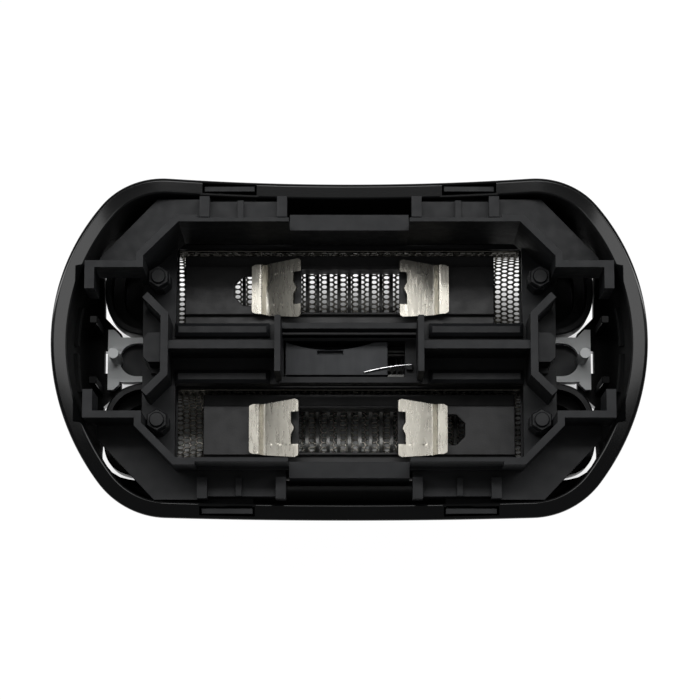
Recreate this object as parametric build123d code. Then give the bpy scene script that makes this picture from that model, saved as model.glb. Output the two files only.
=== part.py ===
from build123d import *
import os
from math import atan2, cos, degrees, pi, radians, sin, sqrt, tan

# Shaver foil head: a clip-on cassette with two sprung foils, their sliding cutters and a middle trimmer.
# It lies on its foil crests at height 0, with its open drive side up.
# X runs along the foils, Y from the front foil to the rear foil, Z from the crests to the drive side.
# All sizes are in millimetres.

# Outer shell
head_height = 20.0          # foil crests to the rim at the two ends
shell_length = 58.0
shell_width = 34.0
shell_end_radius = 23.0     # plan radius of each rounded end
shell_corner_radius = 8.0   # plan radius where an end runs into a long side
shell_wall = 1.6
shell_base = 3.8            # foil-side edge of the shell above the crests
shell_rounding = 4.6        # how far the sides draw in towards the foil side
shell_inner_rounding = 2.6  # the same on the inside of the wall
shell_rounding_height = 9.0
shell_floor = 1.6           # thickness of the flange round the foil opening
shell_bands = 3             # straight bands that make up the outer rounding
shell_inner_bands = 1
rim_drop = 7.0              # the saddle-shaped rim dips this far at mid length
latch_length = 8.6          # ridge on each inner end wall, held by the shaver's catch
latch_split = 0.8
latch_depth = 0.5
latch_height = 0.9
latch_drop = 6.6            # ridge below the rim's ends
peg_size = 0.8              # square locating pegs on the end flange
peg_spacing = 6.1
peg_top = 13.6
tab_reach = 1.7             # flange tabs below the trimmer brackets, in from the opening's end
tab_gap = 0.55              # slanted tab edge to the rounded cartridge end
tab_notch_width = 2.3       # between the two tabs of an end, a guide for the trimmer's nose

# Foil cartridges
foil_spacing = 14.4         # between the two foil centre lines
foil_radius = 4.2           # outside of the bent foil
foil_thickness = 0.12
foil_leg_top = 6.8          # upper edge of the foil's straight flanks
rail_thickness = 0.55       # side rail of the cartridge frame
rail_bottom = 4.3
cap_zone = 7.55             # length of each rounded frame end, beyond the foil window
cap_crest = 0.35            # rounded ends stay just clear of the skin
cap_wall = 0.6
cap_flats = 8               # flats round each half-round frame end
cap_bands = 4               # straight bands that make up its rounding
pocket_step = 1.05          # the hollow end narrows by this much below the rounding
pocket_floor = 1.6
cheek_thickness = 0.5       # wall between foil window and hollow end
float_travel = 1.4          # each foil can be pushed in this far
float_stop_gap = 0.2        # left between frame and chassis plate when it is
post_width = 1.2            # eight-sided guide post that runs in a chassis collar
post_head_width = 2.0
post_head_height = 1.5
post_from_cheek = 1.15
spring_seat_top = 4.5
spring_seat_width = 2.4
end_margin = 4.1            # shell end beyond the cartridge end
opening_side_gap = 0.55     # shell opening beside the cartridges
opening_end_gap = 0.2
opening_corner_radius = 3.8

# Perforation of a foil
foil_flats = 8              # flats in the half-round bend
hole_columns = 14
hole_rows = 3
hole_row_flats = 2          # flats from one row of holes to the next
hole_radius = 0.6
hole_margin = 1.0           # plain strip beside each end cheek

# Cutters
cutter_gap = 0.13           # blades to foil
blade_thickness = 0.25
blade_pitch = 1.1
blade_depth = 0.9           # radial depth of a bent blade
blade_sides = 4             # straight runs that make up the half-round blade
blade_inset = 0.35          # first blade from the end of its carrier
cutter_stroke = 2.0
cutter_end_gap = 0.5        # carrier to cheek at either end of the stroke
carrier_top = 7.0
carrier_plate_thickness = 0.8
carrier_half_width = 2.5
carrier_rail_width = 1.5    # lower strip that carries the blades along each side
carrier_rail_half = 3.75    # outer edge of the strips from the cutter's centre line
carrier_rail_overlap = 0.2  # strip into the plate above it
access_hole_radius = 1.55
access_hole_inset = 0.25    # centre of the access hole outside the clip's lip

# Drive clips
clip_gap = 10.0             # drive socket between the two clips of a cutter
clip_offset = 0.1           # middle of the pair from the middle of the head
clip_length = 5.05
clip_width = 6.0            # at the facing edge
clip_lip_width = 5.0
clip_thickness = 0.3
clip_lip_rise = 0.55        # above the clip's flat root
clip_facing_rise = 1.7
clip_lip = 0.85
clip_root = 0.6
clip_ramp = 0.35
clip_notch_depth = 0.75     # recess in the edge that faces the socket
clip_notch_width = 3.4
clip_bump_radius = 0.95
clip_bump_height = 0.3

# Chassis
plate_top = 10.7
plate_thickness = 1.5
well_half_width = 4.4       # outer edge of a drive well from its foil centre line
beam_width = 6.1            # middle beam between the two wells
well_gap = 0.1              # well end beyond the cheek
wall_thickness = 0.7
thin_wall = 0.4             # long wall beside the snap blocks
plate_past_post = 1.8
plate_chamfer = 3.8         # slanted corner of the inner frame
arm_half_spacing = 7.4      # centre lines of the end arms
arm_end_gap = 1.6           # arm to the shell's inner end wall
hook_reach = 2.1
hook_thickness = 0.95
ledge_drop = 4.5            # ledges below the tops of the walls
ledge_thickness = 1.2
ledge_gap = 0.3             # ledge to the shell's long inner wall
ledge_tip_half_width = 9.1  # outer end of the ledge's slanted edge
ledge_tip_inset = 0.9
ledge_straight = 19.2       # half length of the ledge's straight edge
collar_width = 2.2
collar_top = 13.4
running_gap = 0.15          # beside sliding posts and blocks
seat_gap = 0.05             # between faces that rest on each other
rib_spacing = 14.1          # cross ribs either side of the trimmer window
rib_thickness = 0.6
rib_length = 5.6
rib_top = 17.5
window_wall = 0.6
web_thickness = 0.85        # upright web along the beam, from rib to brace
web_top = 16.7
beam_rail_width = 1.35      # low rails along the beam's edges
beam_rail_top = 11.6
beam_rail_chamfer = 0.35
beam_rail_rib_gap = 0.65
beam_rail_brace_gap = 0.3
brace_thickness = 0.75
brace_top = 17.1
brace_straight = 2.95       # half length of the brace's straight part
brace_slant = 1.95
brace_from_cheek = 0.45
low_wall_half_length = 5.9  # lowered, thickened middle of each long wall
low_wall_thickness = 1.6
low_wall_drop = 4.0
snap_inner = 6.2            # snap block from the middle of the head
snap_outer = 14.9
snap_post = 1.0
snap_post_depth = 2.1
snap_post_drop = 4.2        # snap block's heights below the tops of the walls
snap_plate_drop = 5.4
snap_plate_thickness = 1.3
snap_rib = 0.6
finger_length = 5.0         # springy finger that sits in a rim notch
finger_thickness = 0.5
finger_root_thickness = 0.8
finger_drop = 8.1
finger_inset = 0.4          # finger from the snap block's outer end
finger_cover = 0.55         # shell wall left outside a finger
notch_gap = 0.2             # round a finger in its rim slot

# Trimmer
trimmer_width = 4.4
trimmer_bottom = 2.4
trimmer_travel = 1.2
trimmer_stop_gap = 0.4
tongue_width = 4.2          # shelf below the trimmer bracket
tongue_bottom = 4.2
tongue_nose = 1.0           # narrow nose between the shell's flange tabs
hook_block_width = 3.0
hook_block_length = 1.7
hook_block_top = 15.0
hook_block_chamfer = 0.5
hook_lip = 0.6
hook_lip_height = 0.75
comb_width = 2.9
comb_crest = 0.6
comb_sheet = 0.2
comb_half_length = 16.2
comb_bevel = 0.85           # slanted shoulder beside the comb's crest
comb_pitch = 2.0
comb_slot = 0.7
comb_slot_depth = 1.2
channel_top = 4.2
blade_clearance = 0.08
trimmer_blade_half_length = 13.8
trimmer_blade_top = 3.6
slider_left = 6.5           # slider's left end from the middle of the head
slider_length = 10.4
slider_width = 3.4
slider_top = 8.0
slider_wave_depth = 0.8     # hollow in the slider's rear edge
slider_plain_end = 1.3
slider_slot_length = 2.6
slider_slot_width = 0.35
slider_slot_depth = 0.6
slider_slot_place = (-1.95, 0.6)
slider_keel_width = 1.6
slider_keel_depth = 1.2
trimmer_stroke = 1.6
slider_gap = 0.15
wire_diameter = 0.3
wire_reach = 5.0            # free length over the slider
wire_anchor = 0.6
wire_line = -0.9            # wire in front of the trimmer's middle
spring_pocket_bottom = 5.0
spring_pocket_place = 12.4

# Trimmer brackets
bracket_top = 7.2
bracket_thickness = 1.2
bracket_throat = 3.4        # between the two arms
bracket_arm = 0.6
bracket_bar = 1.2
bracket_bar_length = 6.2
bracket_bar_chamfer = 0.6
bracket_end_gap = 0.5       # bar to the shell's end flange
bracket_arm_gap = 0.1       # arm to the end of the trimmer's main bar
bracket_pin_diameter = 1.06
bracket_pin_top = 11.5
bracket_pin_inset = 0.27    # pin's centre inside the bar

# Float springs
spring_wire = 0.24
spring_turns = 3
spring_sides = 6            # straight runs in a turn
spring_radius = 0.82        # to the middle of the wire

# Worked out from the sizes above
foil_line = foil_spacing / 2
cartridge_half_width = foil_radius + rail_thickness
cartridge_tip = shell_length / 2 - end_margin
cap_centre = cartridge_tip - cartridge_half_width
window_half = cartridge_tip - cap_zone
cheek_outer = window_half + cheek_thickness
post_place = cheek_outer + post_from_cheek
cutter_radius = foil_radius - foil_thickness - cutter_gap
carrier_left = -(window_half - cutter_end_gap)
carrier_right = window_half - cutter_end_gap - cutter_stroke
shell_inner_end = shell_length / 2 - shell_wall
shell_inner_side = shell_width / 2 - shell_wall
opening_half_length = cartridge_tip + opening_end_gap
tab_tip = opening_half_length - tab_reach
opening_half_width = foil_line + cartridge_half_width + opening_side_gap
rim_radius = ((shell_length / 2) ** 2 + rim_drop ** 2) / (2 * rim_drop)
latch_top = head_height - latch_drop
ledge_top = head_height - ledge_drop
low_wall_top = head_height - low_wall_drop
snap_post_top = head_height - snap_post_drop
snap_plate_top = head_height - snap_plate_drop
finger_bottom = head_height - finger_drop
plate_bottom = plate_top - plate_thickness
frame_top = plate_bottom - float_travel - float_stop_gap
trimmer_top = plate_bottom - trimmer_travel - trimmer_stop_gap
wall_inner = foil_line + well_half_width
wall_outer = wall_inner + wall_thickness
beam_half_width = beam_width / 2
plate_end = post_place + plate_past_post
arm_end = shell_inner_end - arm_end_gap
ledge_side = shell_inner_side - ledge_gap
well_end = window_half + well_gap
brace_place = window_half + brace_from_cheek + brace_thickness / 2
hook_block_start = brace_place + brace_thickness / 2 + running_gap
trimmer_bar_end = hook_block_start - running_gap
tongue_end = tab_tip - running_gap
tongue_top = bracket_top - bracket_thickness - seat_gap
slider_right = slider_length - slider_left
blade_half_width = comb_width / 2 - comb_sheet - blade_clearance
finger_middle = snap_outer - finger_inset - finger_length / 2
finger_outer = shell_width / 2 - finger_cover


def block(x, y, z):
    """A box between low and high values of X, Y and Z."""
    middle = [(low + high) / 2 for low, high in (x, y, z)]
    size = [high - low for low, high in (x, y, z)]
    return Pos(*middle) * Box(*size)


def centred(half_x, half_y, z):
    """A box about the vertical axis."""
    return block((-half_x, half_x), (-half_y, half_y), z)


def prism(sketch, bottom, top):
    """A plan outline raised from bottom to top."""
    return Pos(0, 0, bottom) * extrude(sketch, top - bottom)


def pillar(place, diameter, bottom, top):
    """An upright round pillar at a plan position."""
    return Pos(*place, bottom) * extrude(Circle(diameter / 2), top - bottom)


def octagon_pillar(place, width, bottom, top):
    """An upright eight-sided pillar, its width taken across the flats."""
    outline = Rot(0, 0, 22.5) * RegularPolygon(width / 2, 8, major_radius=False)
    return Pos(*place, bottom) * extrude(outline, top - bottom)


def both_ends(part):
    """A piece at the right end and its mirror image at the left."""
    return part + mirror(part, about=Plane.YZ)


def both_sides(part):
    """A piece on the rear side and its mirror image on the front."""
    return part + mirror(part, about=Plane.XZ)


def four_corners(part):
    """A piece in the rear right corner and in the other three."""
    return both_sides(both_ends(part))


def head_outline(inset):
    """The shell's plan outline moved inwards: straight sides, arc ends and rounded corners."""
    half_length = shell_length / 2 - inset
    half_width = shell_width / 2 - inset
    end_radius = shell_end_radius - inset
    corner = half_length - end_radius + sqrt(end_radius ** 2 - half_width ** 2)
    front = Line((-corner, -half_width), (corner, -half_width))
    right = ThreePointArc((corner, -half_width), (half_length, 0), (corner, half_width))
    rear = Line((corner, half_width), (-corner, half_width))
    left = ThreePointArc((-corner, half_width), (-half_length, 0), (-corner, -half_width))
    face = make_face([front, right, rear, left])
    return fillet(face.vertices(), shell_corner_radius - inset)


def bowl(sketch, bottom, top, reach, height, bands):
    """A raised outline whose lower edge is rounded off, in reach and height, by a few straight bands."""
    level = bottom + height
    solid = prism(sketch, level, top)
    step = radians(90 / bands)
    for band in range(bands):
        drop = height * (sin(step * (band + 1)) - sin(step * band))
        inset = reach * (cos(step * band) - cos(step * (band + 1)))
        taper = degrees(atan2(inset, drop))
        slab = Pos(0, 0, level) * Rot(180, 0, 0) * extrude(sketch, drop, taper=taper)
        solid += slab
        level -= drop
        sketch = Rot(180, 0, 0) * Pos(0, 0, -level) * slab.faces().sort_by(Axis.Z)[0]
    return solid


def foil_opening():
    """The opening round both cartridges, with slanted tabs at its ends, between the rounded frame ends."""
    opening = Rectangle(2 * opening_half_length, 2 * opening_half_width)
    opening = fillet(opening.vertices(), opening_corner_radius)
    slant = cap_centre - foil_line + (cartridge_half_width + tab_gap) * sqrt(2)
    tab = Polygon(
        (tab_tip, tab_notch_width / 2),
        (shell_inner_end, tab_notch_width / 2),
        (shell_inner_end, shell_inner_end - slant),
        (tab_tip, tab_tip - slant),
        align=None,
    )
    return opening - four_corners(tab)


def outer_shell():
    outside = bowl(
        head_outline(0), shell_base, head_height, shell_rounding, shell_rounding_height, shell_bands
    )
    inside = bowl(
        head_outline(shell_wall),
        shell_base + shell_floor,
        head_height,
        shell_inner_rounding,
        shell_rounding_height - shell_floor,
        shell_inner_bands,
    )
    shell = outside - inside - prism(foil_opening(), 0, head_height)

    # Latch ridge on each inner end wall, split in the middle
    band = prism(head_outline(shell_wall / 2), latch_top - latch_height, latch_top)
    band -= prism(head_outline(shell_wall + latch_depth), 0, head_height)
    ridge_span = block(
        (shell_inner_end / 2, shell_length), (latch_split / 2, latch_length / 2), (0, head_height)
    )
    shell += four_corners(band & ridge_span)

    # Square locating pegs that stand on the end flange
    peg_x = opening_half_length + peg_size / 2
    peg = block(
        (peg_x - peg_size / 2, peg_x + peg_size / 2),
        (peg_spacing / 2 - peg_size / 2, peg_spacing / 2 + peg_size / 2),
        (shell_base + shell_floor / 2, peg_top),
    )
    shell += four_corners(peg)

    # Rim slots for the chassis fingers, each with a window for the finger's root
    slot_half_length = finger_length / 2 + notch_gap
    slot_span = (finger_middle - slot_half_length, finger_middle + slot_half_length)
    slot_bottom = finger_bottom - notch_gap
    slot_inner = finger_outer - finger_thickness - notch_gap
    slot = block(slot_span, (slot_inner, finger_outer + notch_gap), (slot_bottom, head_height))
    root_window = block(
        slot_span,
        (shell_inner_side - shell_wall, finger_outer),
        (slot_bottom, finger_bottom + finger_root_thickness + notch_gap),
    )
    shell -= four_corners(slot + root_window)

    # Saddle-shaped rim
    rim_axis = head_height - rim_drop + rim_radius
    return shell - Pos(0, 0, rim_axis) * Rot(90, 0, 0) * Cylinder(rim_radius, 2 * shell_width)


def slanted_frame(inset):
    """The inner frame's plan outline: a rectangle with slanted corners, moved inwards."""
    outline = Rectangle(2 * (plate_end - inset), 2 * (wall_outer - inset))
    return chamfer(outline.vertices(), plate_chamfer - inset * (2 - sqrt(2)))


def chassis():
    # Floor plate with a drive well over each foil
    body = prism(slanted_frame(0), plate_bottom, plate_top)
    body -= both_sides(block((-well_end, well_end), (beam_half_width, wall_inner), (0, head_height)))

    # Upright wall round the plate, open at the ends, thinner beside the snap blocks
    wall = prism(slanted_frame(0), plate_bottom, head_height)
    wall -= prism(slanted_frame(wall_thickness), 0, head_height)
    arm_inner = arm_half_spacing - wall_thickness / 2
    arm_outer = arm_half_spacing + wall_thickness / 2
    wall -= centred(shell_length, arm_inner, (plate_top, head_height))
    wall -= both_sides(
        block((-snap_outer, snap_outer), (wall_inner + thin_wall, wall_outer), (ledge_top, head_height))
    )
    wall -= centred(low_wall_half_length, shell_width, (low_wall_top, head_height))
    body += wall
    body += both_sides(
        block(
            (-low_wall_half_length, low_wall_half_length),
            (wall_inner - seat_gap, wall_inner + low_wall_thickness - seat_gap),
            (plate_bottom, low_wall_top),
        )
    )

    # End arms with their inward hooks, and the ledges outside them
    ledge_bottom = ledge_top - ledge_thickness
    arm = block((plate_end - wall_thickness, arm_end), (arm_inner, arm_outer), (ledge_bottom, head_height))
    hook = block(
        (arm_end - hook_thickness, arm_end),
        (arm_inner - hook_reach, arm_outer),
        (ledge_bottom, head_height),
    )
    ledge = Polygon(
        (snap_outer, wall_inner),
        (snap_outer, ledge_side),
        (ledge_straight, ledge_side),
        (arm_end - ledge_tip_inset, ledge_tip_half_width),
        (arm_end - ledge_tip_inset, arm_half_spacing),
        (plate_end - wall_thickness, arm_half_spacing),
        align=None,
    )
    ledge_solid = prism(ledge, ledge_bottom, ledge_top)
    ledge_solid -= prism(slanted_frame(wall_thickness / 2), 0, head_height)
    body += four_corners(arm + hook + ledge_solid)

    # Snap blocks with their springy fingers
    body += four_corners(snap_block())

    # Post collars
    place = (post_place, foil_line)
    collar = octagon_pillar(place, collar_width, plate_bottom, collar_top)
    bore = octagon_pillar(place, post_width + 2 * running_gap, 0, head_height)
    body += four_corners(collar)
    body -= four_corners(bore)

    return body + beam_ribs() - beam_cuts()


def snap_block():
    """The block behind a rim notch: two posts, a lower plate with a rib, and a hooked finger."""
    plate_inner = wall_outer - thin_wall
    plate_outer = ledge_side - ledge_gap
    plate = block(
        (snap_inner, snap_outer),
        (plate_inner, plate_outer),
        (snap_plate_top - snap_plate_thickness, snap_plate_top),
    )
    posts = [
        block(
            (x, x + snap_post),
            (ledge_side - snap_post_depth, ledge_side),
            (snap_plate_top - snap_plate_thickness, snap_post_top),
        )
        for x in (snap_inner, snap_outer - snap_post)
    ]
    rib_x = (snap_inner + snap_outer) / 2
    rib = block(
        (rib_x, rib_x + snap_rib),
        (ledge_side - snap_post_depth, plate_outer),
        (snap_plate_top, snap_plate_top + snap_rib),
    )
    span = (finger_middle - finger_length / 2, finger_middle + finger_length / 2)
    root_top = finger_bottom + finger_root_thickness
    root = block(span, (plate_outer - finger_root_thickness, finger_outer), (finger_bottom, root_top))
    web = block(
        span,
        (plate_outer - finger_root_thickness, plate_outer),
        (root_top, snap_plate_top - snap_plate_thickness),
    )
    rim_height = head_height - rim_drop + rim_radius - sqrt(rim_radius ** 2 - finger_middle ** 2)
    tip = block(span, (finger_outer - finger_thickness, finger_outer), (root_top, rim_height))
    return plate + posts + rib + root + web + tip


def beam_ribs():
    """Cross ribs, window walls, rails, the upright webs and the end braces on the middle beam."""
    rib_x = rib_spacing / 2
    rib_outer = rib_x + rib_thickness / 2
    rib = block(
        (rib_outer - rib_thickness, rib_outer),
        (-rib_length / 2, rib_length / 2),
        (plate_bottom, rib_top),
    )
    window_side = block(
        (-rib_x, rib_x),
        (beam_half_width - window_wall, beam_half_width),
        (plate_bottom, beam_rail_top),
    )
    web = block((rib_x, brace_place), (-web_thickness / 2, web_thickness / 2), (plate_bottom, web_top))
    rail = block(
        (rib_outer + beam_rail_rib_gap, brace_place - brace_thickness / 2 - beam_rail_brace_gap),
        (beam_half_width - beam_rail_width, beam_half_width),
        (plate_bottom, beam_rail_top),
    )
    rail = chamfer(rail.faces().sort_by(Axis.Z)[-1].edges(), beam_rail_chamfer)
    outer = brace_place + brace_slant
    reach = brace_straight + brace_slant
    line = Polyline(
        (outer, reach), (brace_place, brace_straight), (brace_place, -brace_straight), (outer, -reach)
    )
    brace = prism(trace(line, brace_thickness), plate_bottom, brace_top)
    return both_ends(rib + web + brace) + both_sides(window_side) + four_corners(rail)


def beam_cuts():
    """Trimmer window and the notches for the hooked end blocks."""
    rib_inner = rib_spacing / 2 - rib_thickness / 2
    window = centred(rib_inner, beam_half_width - window_wall, (0, head_height))
    half_notch = hook_block_width / 2 + running_gap
    notch = block(
        (hook_block_start - running_gap, shell_length), (-half_notch, half_notch), (0, head_height)
    )
    return window + both_ends(notch)


def capsule(radius):
    """A long outline about a foil's centre line, with half-round ends made of flats."""
    step = pi / cap_flats
    corner = radius / cos(step / 2)
    angles = [step / 2 - pi / 2 + n * step for n in range(cap_flats)]
    right = [(cap_centre + corner * cos(angle), corner * sin(angle)) for angle in angles]
    left = [(-x, -y) for x, y in right]
    return Polygon(*right, *left, align=None)


def foil_frame():
    """The floating cartridge frame about its own centre line."""
    frame = bowl(
        capsule(cartridge_half_width), cap_crest, frame_top, foil_radius, foil_radius, cap_bands
    )
    hollow_radius = cartridge_half_width - cap_wall
    hollow = prism(capsule(hollow_radius), cap_crest + foil_radius, head_height)
    hollow += prism(capsule(hollow_radius - pocket_step), cap_crest + pocket_floor, head_height)
    hollow -= centred(cheek_outer, shell_width, (0, head_height))
    window = centred(window_half, shell_width, (0, rail_bottom))
    window += centred(window_half, foil_radius, (0, head_height))
    frame = frame - hollow - window

    place = (post_place, 0)
    head_bottom = collar_top + seat_gap
    seat = octagon_pillar(place, spring_seat_width, cap_crest + pocket_floor / 2, spring_seat_top)
    seat -= centred(window_half, shell_width, (0, head_height))
    post = octagon_pillar(place, post_width, spring_seat_top, head_bottom)
    head = octagon_pillar(place, post_head_width, head_bottom, head_bottom + post_head_height)
    return frame + both_ends(seat + post + head)


def bent_outline(radius, step):
    """The area inside a bent sheet of flats that touch a half circle, closed along its upper edge."""
    corner = radius / cos(step / 2)
    angles = [pi + step / 2 + n * step for n in range(foil_flats)]
    bend = [(corner * cos(angle), corner * sin(angle)) for angle in angles]
    edge = foil_leg_top - foil_radius
    return Polygon((-radius, edge), *bend, (radius, edge), align=None)


def foil():
    """The bent, perforated foil about its own centre line."""
    step = pi / foil_flats
    section = bent_outline(foil_radius, step) - bent_outline(foil_radius - foil_thickness, step)
    half_length = window_half - seat_gap
    sheet = extrude(Plane.YZ * section, half_length, both=True)

    pitch = 2 * (window_half - hole_margin) / hole_columns
    holes = []
    for row in range(hole_rows):
        angle = (row - (hole_rows - 1) / 2) * hole_row_flats * step
        outward = Vector(0, sin(angle), -cos(angle))
        shift = row % 2 / 2  # neighbouring rows lie half a pitch apart
        for column in range(hole_columns):
            x = (column + shift + 0.25 - hole_columns / 2) * pitch
            middle = Vector(x, 0, 0) + outward * (foil_radius / 2)
            plane = Plane(middle, x_dir=(1, 0, 0), z_dir=outward)
            holes.append(extrude(plane * RegularPolygon(hole_radius, 6), foil_radius))
    return Pos(0, 0, foil_radius) * (sheet - holes)


def clip_span(side):
    """X of the clip's facing edge and of its outer lip, for the left (-1) or right (1) clip."""
    facing = clip_offset + side * clip_gap / 2
    return facing, facing + side * clip_length


def cutter_carrier():
    """The plastic cutter bar about its own centre line."""
    bar = block(
        (carrier_left, carrier_right),
        (-carrier_half_width, carrier_half_width),
        (carrier_top - carrier_plate_thickness, carrier_top),
    )
    rail_inner = carrier_rail_half - carrier_rail_width
    rail = block(
        (carrier_left, carrier_right),
        (rail_inner, carrier_rail_half),
        (foil_radius, carrier_top - carrier_plate_thickness + carrier_rail_overlap),
    )
    left_edge, left_lip = clip_span(-1)
    right_edge, right_lip = clip_span(1)
    window = block((left_edge, right_edge), (-rail_inner, rail_inner), (0, head_height))
    access = octagon_pillar((left_lip - access_hole_inset, 0), 2 * access_hole_radius, 0, head_height)
    return bar + both_sides(rail) - window - access


def cutter_blades():
    """Half-round blades that hang from the carrier's rails, about the cutter's centre line."""
    step = 180 / blade_sides
    angles = [radians(180 + step * side) for side in range(blade_sides + 1)]
    outer = [(cutter_radius * cos(a), cutter_radius * sin(a)) for a in angles]
    inner_radius = cutter_radius - blade_depth
    inner = [(inner_radius * cos(a), inner_radius * sin(a)) for a in reversed(angles)]
    section = Plane.YZ * Polygon(*outer, *inner, align=None)
    blade = extrude(section, blade_thickness / 2, both=True)
    first = carrier_left + blade_inset
    count = int((carrier_right - blade_inset - first) / blade_pitch) + 1
    return [Pos(first + n * blade_pitch, 0, foil_radius) * blade for n in range(count)]


def drive_clip(side):
    """A stamped clip on the carrier: raised lip, flat root, rising plate and a notched facing edge."""
    facing, lip = clip_span(1)
    low = carrier_top + clip_thickness / 2
    high = low + clip_lip_rise
    marks = [0, clip_lip, clip_lip + clip_ramp, clip_lip + clip_ramp + clip_root, clip_length]
    heights = [high, high, low, low, low + clip_facing_rise]
    points = [(lip - mark, height) for mark, height in zip(marks, heights)]
    section = Plane.XZ * trace(Polyline(*points), clip_thickness)
    plate = extrude(section, clip_width / 2, both=True)
    outline = Polygon(
        (facing - clip_thickness, -clip_width / 2),
        (facing, -clip_width / 2),
        (lip + clip_thickness, -clip_lip_width / 2),
        (lip + clip_thickness, clip_lip_width / 2),
        (facing, clip_width / 2),
        (facing - clip_thickness, clip_width / 2),
        align=None,
    )
    recess_end = facing + clip_notch_depth
    notch_half_width = clip_notch_width / 2
    recess = block((clip_offset, recess_end), (-notch_half_width, notch_half_width), (0, head_height))
    bump_x = recess_end + clip_bump_radius - clip_bump_height
    recess -= octagon_pillar((bump_x, 0), 2 * clip_bump_radius, 0, head_height)
    clip = (plate & prism(outline, 0, head_height)) - recess
    return clip if side > 0 else mirror(clip, about=Plane.YZ.offset(clip_offset))


def coil_spring(place, bottom, top):
    """A coil spring standing between two seats."""
    height = top - bottom - spring_wire - 2 * seat_gap
    count = spring_turns * spring_sides
    turns = [2 * pi * n / spring_sides for n in range(count + 1)]
    path = Polyline(
        *[(spring_radius * cos(a), spring_radius * sin(a), height * n / count) for n, a in enumerate(turns)]
    )
    section = Plane(path @ 0, z_dir=path % 0) * RegularPolygon(spring_wire / 2, 4)
    spring = sweep(section, path, transition=Transition.RIGHT)
    return Pos(*place, bottom + spring_wire / 2 + seat_gap) * spring


def trimmer_housing():
    bar = centred(trimmer_bar_end, trimmer_width / 2, (trimmer_bottom, trimmer_top))
    tongue = centred(tongue_end, tongue_width / 2, (tongue_bottom, tongue_top))
    nose_half_width = tab_notch_width / 2 - running_gap
    tongue += centred(tongue_end + tongue_nose, nose_half_width, (tongue_bottom, tongue_top))
    hook_end = hook_block_start + hook_block_length
    stem = block(
        (hook_block_start, hook_end),
        (-hook_block_width / 2, hook_block_width / 2),
        (tongue_bottom, hook_block_top),
    )
    stem = chamfer(stem.edges().filter_by(Axis.Z).sort_by(Axis.X)[-2:], hook_block_chamfer)
    lip_bottom = plate_top + seat_gap
    lip = block(
        (hook_block_start, hook_end - hook_block_chamfer),
        (-hook_block_width / 2 - hook_lip, hook_block_width / 2 + hook_lip),
        (lip_bottom, lip_bottom + hook_lip_height),
    )
    housing = bar + tongue + both_ends(stem + lip)

    channel = centred(comb_half_length + seat_gap, comb_width / 2, (0, channel_top))
    slider_room = block(
        (-slider_left - slider_gap, slider_right + trimmer_stroke + slider_gap),
        (-slider_width / 2 - slider_gap, slider_width / 2 + slider_gap),
        (channel_top, head_height),
    )
    pocket_width = 2 * (spring_radius + spring_wire)
    pocket = octagon_pillar((spring_pocket_place, 0), pocket_width, spring_pocket_bottom, head_height)
    housing = housing - channel - slider_room - both_ends(pocket)

    anchor_x = wire_place()
    anchor = block(
        (anchor_x, anchor_x + wire_anchor),
        (wire_line - wire_anchor / 2, wire_line + wire_anchor / 2),
        (trimmer_top - seat_gap, slider_top + wire_diameter),
    )
    return housing + anchor


def wire_place():
    """X where the trimmer's wire spring leaves its anchor."""
    return slider_right + trimmer_stroke + 2 * slider_gap


def channel_outline(half_width, crest, top, bevel):
    """The area inside a channel with slanted shoulders, closed along its upper edge."""
    return Polygon(
        (-half_width, top),
        (-half_width, crest + bevel),
        (-half_width + bevel, crest),
        (half_width - bevel, crest),
        (half_width, crest + bevel),
        (half_width, top),
        align=None,
    )


def slotted_channel(half_width, crest, top, half_length):
    """A sheet-metal channel, slotted across its crest to leave teeth."""
    inner_bevel = comb_bevel - comb_sheet * tan(radians(22.5))
    section = channel_outline(half_width, crest, top, comb_bevel)
    section -= channel_outline(half_width - comb_sheet, crest + comb_sheet, top, inner_bevel)
    channel = extrude(Plane.YZ * section, half_length, both=True)
    count = int(2 * (half_length - comb_slot) / comb_pitch)
    first = -(count - 1) / 2 * comb_pitch
    slot = Box(comb_slot, 2 * half_width, 2 * comb_slot_depth)
    return channel - [Pos(first + n * comb_pitch, 0, crest) * slot for n in range(count)]


def trimmer_comb():
    return slotted_channel(comb_width / 2, comb_crest, channel_top, comb_half_length)


def trimmer_blade():
    crest = comb_crest + comb_sheet + blade_clearance
    return slotted_channel(blade_half_width, crest, trimmer_blade_top, trimmer_blade_half_length)


def trimmer_slider():
    half_width = slider_width / 2
    middle = (slider_right - slider_left) / 2
    wave_end = slider_right - slider_plain_end
    outline = make_face(
        [
            Polyline(
                (wave_end, half_width), (slider_right, half_width), (slider_right, -half_width),
                (-slider_left, -half_width), (-slider_left, half_width),
            ),
            ThreePointArc(
                (-slider_left, half_width), (middle, half_width - slider_wave_depth), (wave_end, half_width)
            ),
        ]
    )
    body_bottom = channel_top + slider_gap
    body = prism(outline, body_bottom, slider_top)
    neck = block(
        (-slider_left, slider_right),
        (-blade_half_width, blade_half_width),
        (trimmer_blade_top, body_bottom),
    )
    keel = block(
        (-slider_left, slider_right),
        (-slider_keel_width / 2, slider_keel_width / 2),
        (trimmer_blade_top - slider_keel_depth, trimmer_blade_top),
    )
    slot = Box(slider_slot_length, slider_slot_width, 2 * slider_slot_depth)
    slot = Pos(*slider_slot_place, slider_top) * slot
    return body + neck + keel - slot


def trimmer_wire_spring():
    """The wire that presses the slider and its blade towards the comb."""
    height = slider_top + seat_gap + wire_diameter / 2
    wire = Rot(0, -90, 0) * extrude(RegularPolygon(wire_diameter / 2, 6), wire_reach)
    return Pos(wire_place(), wire_line, height) * wire


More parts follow.
